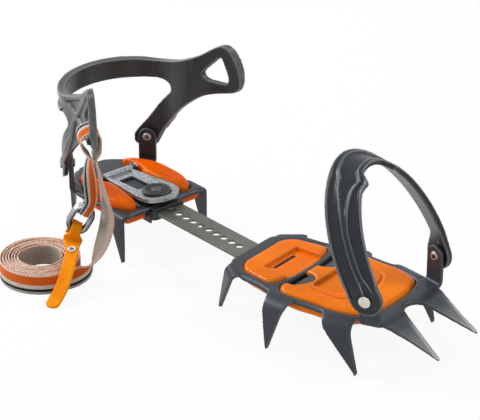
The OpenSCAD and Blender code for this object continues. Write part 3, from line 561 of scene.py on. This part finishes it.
# Strap: the route is the solid's, with the same values, and only the uneven lift of the roll's layers is
# added. Its legs are in millimetres from the heel's pin hole, with points in the fold around the rings
# (forward, up the rings) and in the cradle loop (outward, up). A turn is the point of the route where it
# starts and the points that it takes, and an opening has its share of the width before these. Along the
# roll, distances are in degrees.
strapSet = {
    "width": 0.015, "thick": 0.0015, "offFloor": 0.0004, "stationsPerPoint": 10, "acrossParts": 12,
    "webWay": (0.905, -0.425, -0.17), "outWay": (0.425, 0.905, 0), "legWay": (0.995, -0.05, 0),
    "ringLongWay": (-0.328, -0.376, -0.866), "ringTilt": (0.55, 0.63, -0.48),
    "loopMiddle": (2.2, -57.3, 101), "lean": 3.8, "leanDepth": 50, "foldAt": (-5.4, -50.3),
    "foldPoints": ((-1, 12), (-3.4, 5.5), (-4.7, -1.4), (0, -6), (4.7, -1.4), (3.4, 5.5)),
    "shortLegPoint": (-2.2, -38), "shortLegForward": 2.9,
    "loopPoints": ((-2.6, -24.5), (-1.8, -14.5), (-5.4, -8.6), (-8.2, -2.6), (-7.8, 3.2), (-3.2, 6.4),
                   (2.4, 6.2), (5, 0.6), (4.4, -7.6), (1.6, -14.5)),
    "longLegPoints": ((6.8, -55.4, 76), (9.4, -54.6, 64), (13.4, -55.2, 52), (16.6, -57, 43),
                      (18.8, -61.5, 33.5), (19.8, -68, 23.5), (18.2, -75.6, 13), (15.2, -83.6, 8.1)),
    "loopFrom": 10, "turnToLoop": (5.4, 3.6), "turnToLeg": (17.2, 3), "turnToRoll": (20.6, 3.8),
    "gathered": 0.5, "opening": ((0.12, 4.6, 2), (0.38, 8, 2.6)),
    "selvageFrom": 0.84, "selvageThinning": 0.7, "pleatHeight": 0.0007, "pleats": 3,
    "rollMiddle": (-0.0145, -0.092), "rollRadius": 0.0284, "rollTurns": 6.9, "rollStep": 0.002,
    "rollStation": 6.0, "rollLead": 15, "rollLift": 0.0006, "rollLiftOver": 200,
    "rollWaves": (0.011, 0.037), "rollWaveStart": 1.0,
}


# A curve through every point, with smooth turns
def spline(points, at):
    last = len(points) - 1
    k = min(int(at), last - 1)
    part = at - k
    before, start, end, after = points[max(k - 1, 0)], points[k], points[k + 1], points[min(k + 2, last)]
    bend = 2 * before - 5 * start + 4 * end - after
    twist = 3 * start - before - 3 * end + after
    return 0.5 * (2 * start + (end - before) * part + bend * part ** 2 + twist * part ** 3)


def strapLegs(own, webWay, ringLong, ringFace, rollStart):
    outWay = Vector(own["outWay"]).normalized()

    def inLoop(out, height):
        lean = webWay * min(max(-height / own["leanDepth"], 0), 1) * own["lean"]
        return Vector(own["loopMiddle"]) + outWay * out + upward * height + lean

    def inFold(forward, height):
        return inLoop(*own["foldAt"]) + ringFace * forward - ringLong * height

    legs = [inFold(*point) for point in own["foldPoints"]]
    legs += [inLoop(*own["shortLegPoint"]) + ringFace * own["shortLegForward"]]
    legs += [inLoop(*point) for point in own["loopPoints"]]
    legs += [Vector(point) for point in own["longLegPoints"]]
    return [point * millimetre for point in legs] + [rollStart]


# Stations of the strap: middle, direction of its width, and the share of the width that isn't gathered.
def strapRoute(own):
    webWay = Vector(own["webWay"]).normalized()
    legWay = Vector(own["legWay"]).normalized()
    ringLong = Vector(own["ringLongWay"]).normalized()
    ringFace = ringLong.cross(Vector(own["ringTilt"])).normalized()
    ringShort = ringFace.cross(ringLong)
    rollMiddle = Vector((*own["rollMiddle"], own["offFloor"] + own["width"] / 2))

    def onRoll(radius, angle, lift):
        return rollMiddle + Vector((radius * cos(angle), -radius * sin(angle), lift))

    legs = strapLegs(own, webWay, ringLong, ringFace, onRoll(own["rollRadius"], 0, 0))
    perPoint = own["stationsPerPoint"]
    route = []
    for i in range((len(legs) - 1) * perPoint + 1):
        at = i / perPoint
        if at < own["loopFrom"]:
            width = ringShort.lerp(webWay, easeFrom(at, *own["turnToLoop"]))
        else:
            width = webWay.lerp(legWay, easeFrom(at, *own["turnToLeg"]))
            width = width.lerp(upward, easeFrom(at, *own["turnToRoll"]))
        opened = sum(share * easeFrom(at, start, length) for share, start, length in own["opening"])
        route.append((spline(legs, at), width, own["gathered"] + opened))
    slow, quick = own["rollWaves"]
    for i in range(1, int(own["rollTurns"] * fullTurn / own["rollStation"]) + 1):
        angle = i * own["rollStation"]
        radius = own["rollRadius"] - own["rollStep"] * max(angle - own["rollLead"], 0) / fullTurn
        uneven = 1 + sin(angle * slow + own["rollWaveStart"]) * sin(angle * quick)
        lift = own["rollLift"] * easeFrom(angle, 0, own["rollLiftOver"]) * uneven
        route.append((onRoll(radius, radians(angle), lift), upward, 1.0))
    return [(middle + heelAt, width, opened) for middle, width, opened in route]


def freshNeighbour(vert, fresh):
    return next(edge.other_vert(vert) for edge in vert.link_edges if edge.other_vert(vert) in fresh)


# One closed section of vertices, extruded from station to station along the route.
def sweepStrip(name, route, own):
    shape = bmesh.new()
    layers = {key: shape.verts.layers.float.new(key) for key in stripLayers}
    steps = [2 * k / own["acrossParts"] - 1 for k in range(own["acrossParts"] + 1)]
    section = [(across, 1) for across in steps] + [(-across, -1) for across in steps]
    count = len(section)
    ring, length = None, 0.0
    for i, (middle, width, opened) in enumerate(route):
        ahead = (route[min(i + 1, len(route) - 1)][0] - route[max(i - 1, 0)][0]).normalized()
        side = (width - ahead * width.dot(ahead)).normalized()
        outward = ahead.cross(side)
        if ring is None:
            ring = [shape.verts.new() for corner in section]
            edges = [shape.edges.new((ring[k], ring[(k + 1) % count])) for k in range(count)]
            firstEdges = edges
        else:
            length += (middle - route[i - 1][0]).length
            made = bmesh.ops.extrude_edge_only(shape, edges=edges)["geom"]
            fresh = {vert for vert in made if isinstance(vert, bmesh.types.BMVert)}
            ring = [freshNeighbour(vert, fresh) for vert in ring]
            edges = [shape.edges.get((ring[k], ring[(k + 1) % count])) for k in range(count)]
        for vert, (across, face) in zip(ring, section):
            selvage = max(abs(across) - own["selvageFrom"], 0) / (1 - own["selvageFrom"])
            half = face * own["thick"] / 2 * sqrt(1 - selvage ** 2 * own["selvageThinning"])
            pleat = own["pleatHeight"] * (1 - opened) * cos(own["pleats"] * pi * across)
            vert.co = middle + side * across * own["width"] / 2 * opened + outward * (half + pleat)
            vert[layers["across"]] = (across + 1) / 2
            vert[layers["along"]] = length
            vert[layers["face"]] = 0.0 if face > 0 else 1.0
    bmesh.ops.edgeloop_fill(shape, edges=firstEdges)
    bmesh.ops.edgeloop_fill(shape, edges=edges)
    bmesh.ops.recalc_face_normals(shape, faces=shape.faces[:])
    piece = addObject(name, meshFrom(shape, name))
    shadeSmooth(piece.data)
    return piece, length


def makeStrap(own):
    strap, length = sweepStrip("strapWebbing", strapRoute(own), own)
    dress(strap, "strap")
    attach(strap, "heel")
    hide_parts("strap")
    print("strap length", round(length, 3), "m")


makeStrap(strapSet)

# The cut edges of both steel frames roll over: the sheet thins towards them, except where it bends up or
# down. Heights are over or under the faces of the sheet, and a cut wall has a normal that rises little.
rimSet = {
    "frames": ("front_frame", "heel_frame"), "radius": 0.0024, "top": 0.036, "sheet": 0.003,
    "wallRise": 0.4, "wallOver": 0.0008, "wallUnder": 0.0005, "topSlack": 0.0005,
    "bendOver": 0.001, "bendUnder": 0.0008, "bendFade": (0.0012, 0.0045), "rounds": 3,
}
smoothFactor = 0.5
mergeDistance = 1e-6


def inPlan(vert):
    return Vector((vert.co.x, vert.co.y, 0))


def planTree(verts):
    tree = kdtree.KDTree(len(verts))
    for i, vert in enumerate(verts):
        tree.insert(inPlan(vert), i)
    tree.balance()
    return tree


def planDistance(tree, vert):
    return tree.find(inPlan(vert))[2]


def rollRims(mesh, own):
    shape = bmesh.new()
    shape.from_mesh(mesh)
    shape.normal_update()
    top = own["top"]
    low = top - own["sheet"]
    radius = own["radius"]
    steep = [vert for vert in shape.verts if abs(vert.normal.z) < own["wallRise"]]
    walls = planTree([vert for vert in steep if low + own["wallOver"] < vert.co.z < top - own["wallUnder"]])
    bends = planTree([vert for vert in shape.verts
                      if vert.co.z > top + own["bendOver"] or vert.co.z < low - own["bendUnder"]])
    rolled = []
    for vert in shape.verts:
        if low < vert.co.z < top + own["topSlack"]:
            away = planDistance(walls, vert)
            if away < radius:
                drop = radius - sqrt(radius ** 2 - (radius - away) ** 2)
                drop *= easeFrom(planDistance(bends, vert), *own["bendFade"])
                vert.co.z = low + (vert.co.z - low) * (1 - drop / own["sheet"])
                rolled.append(vert)
    for turn in range(own["rounds"]):
        bmesh.ops.smooth_vert(shape, verts=rolled, factor=smoothFactor,
                              use_axis_x=True, use_axis_y=True, use_axis_z=True)
    shape.to_mesh(mesh)
    shape.free()
    print("rolled rim:", len(rolled), "vertices")


# Rounded pieces: a merged copy of the solid, remeshed and smoothed so that its edges are as soft as real
# ones. With a swell the front plate fills its windows, and the ring wire is as stout as in the photo.
mouldSet = {
    "toe_cradle": {"piece": "toeCradleMoulding", "voxel": 0.0005, "rounds": 10,
                   "body": "toe_cradle", "slot": "cradle_plastic"},
    "heel_cradle": {"piece": "heelCradleMoulding", "voxel": 0.00053, "rounds": 8,
                    "body": "heel", "slot": "cradle_plastic"},
    "front_antiball_plate": {"piece": "frontAntiballMoulding", "voxel": 0.0008, "rounds": 4,
                             "swell": 0.0004, "body": "front", "slot": "antiball_plastic"},
    "heel_antiball_plate": {"piece": "heelAntiballMoulding", "voxel": 0.0008, "rounds": 4,
                            "body": "heel", "slot": "antiball_plastic"},
    "front_frame": {"piece": "frontFrameRounded", "voxel": 0.00052, "rounds": 8,
                    "body": "front", "slot": "frame_steel"},
    "heel_frame": {"piece": "heelFrameRounded", "voxel": 0.0005, "rounds": 8,
                   "body": "heel", "slot": "frame_steel"},
    "pull_tab": {"piece": "pullTabRounded", "voxel": 0.00045, "rounds": 3,
                 "body": "heel", "slot": "tab_plastic"},
    "buckle_ring_upper": {"piece": "upperRingWire", "voxel": 0.0003, "rounds": 2, "swell": 0.0005,
                          "body": "heel", "slot": "ring_steel"},
    "buckle_ring_lower": {"piece": "lowerRingWire", "voxel": 0.0003, "rounds": 2, "swell": 0.0005,
                          "body": "heel", "slot": "ring_steel"},
}


def mould(nodeName, own):
    shape = bmesh.new()
    shape.from_mesh(nodes[nodeName].data)
    bmesh.ops.remove_doubles(shape, verts=shape.verts[:], dist=mergeDistance)
    bmesh.ops.recalc_face_normals(shape, faces=shape.faces[:])
    piece = addObject(own["piece"], meshFrom(shape, own["piece"]))
    remesh = piece.modifiers.new("remesh", "REMESH")
    remesh.mode = "VOXEL"
    remesh.voxel_size = own["voxel"]
    soften = piece.modifiers.new("soften", "SMOOTH")
    soften.factor = smoothFactor
    soften.iterations = own["rounds"]
    if "swell" in own:
        swell = piece.modifiers.new("swell", "DISPLACE")
        swell.strength = own["swell"]
        swell.mid_level = 0.0
    shaped = bpy.data.meshes.new_from_object(piece.evaluated_get(bpy.context.evaluated_depsgraph_get()))
    piece.modifiers.clear()
    piece.data = shaped
    if nodeName in rimSet["frames"]:
        rollRims(shaped, rimSet)
    shadeSmooth(shaped)
    dress(piece, nodeName)
    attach(piece, own["body"])
    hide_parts(nodeName)
    print(own["piece"], len(shaped.polygons), "faces")


for nodeName, settings in mouldSet.items():
    mould(nodeName, settings)

# The world is white to these rays, and the floor nearly white, so that a faint shadow shows.
viewRays = ("Is Camera Ray", "Is Glossy Ray", "Is Transmission Ray")
stageSet = {"floorSize": 6.0, "floorWhite": 0.86, "floorRoughness": 0.9, "floorSpecular": 0.1,
            "shadow": 0.08, "worldLight": 0.46}


def seenInView(graph):
    camera, glossy, through = (graph.node("LightPath", {}, {}, ray) for ray in viewRays)
    return camera.math("MAXIMUM", glossy).math("MAXIMUM", through)


def makeStage(own):
    shape = bmesh.new()
    bmesh.ops.create_grid(shape, x_segments=1, y_segments=1, size=own["floorSize"] / 2)
    floor = addObject("floor", meshFrom(shape, "floor"))
    white = own["floorWhite"]
    pale = Finish("paleFloor", {"Base Color": (white, white, white, 1), "Roughness": own["floorRoughness"],
                                "Specular IOR Level": own["floorSpecular"]})
    lit = Flow(pale, pale.shader.outputs[0])
    glow = pale.node("Emission", {}, {})
    mixed = pale.node("MixShader", {}, {0: seenInView(pale) * (1 - own["shadow"]), 1: lit, 2: glow})
    pale.feed(pale.tree.nodes["Material Output"].inputs["Surface"], mixed)
    floor.data.materials.append(pale.material)
    world = bpy.data.worlds.new("studio")
    world.use_nodes = True
    scene.world = world
    studio = Graph(world.node_tree)
    back = studio.tree.nodes["Background"]
    seen = seenInView(studio)
    studio.feed(back.inputs["Color"], (1, 1, 1, 1))
    studio.feed(back.inputs["Strength"], seen + (1 - seen) * own["worldLight"])
    print("stage ready")


makeStage(stageSet)

lampSet = [
    {"name": "keyLamp", "at": (-1.25, -0.95, 1.35), "aim": (0, 0, 0.05), "size": 0.45, "power": 19},
    {"name": "sideLamp", "at": (-1.25, -0.2, 0.75), "aim": (-0.12, 0, 0.09), "size": 0.4, "power": 8},
    {"name": "rearLamp", "at": (0.7, 1.1, 1.5), "aim": (0, 0, 0.05), "size": 0.4, "power": 9},
]


def makeLamp(own):
    data = bpy.data.lights.new(own["name"], "AREA")
    data.shape = "SQUARE"
    data.size = own["size"]
    data.energy = own["power"]
    lamp = addObject(own["name"], data)
    lamp.location = own["at"]
    aimBack(lamp, Vector(own["at"]) - Vector(own["aim"]))


for settings in lampSet:
    makeLamp(settings)
scene.view_settings.view_transform = "Standard"
print("lamps:", len(lampSet))
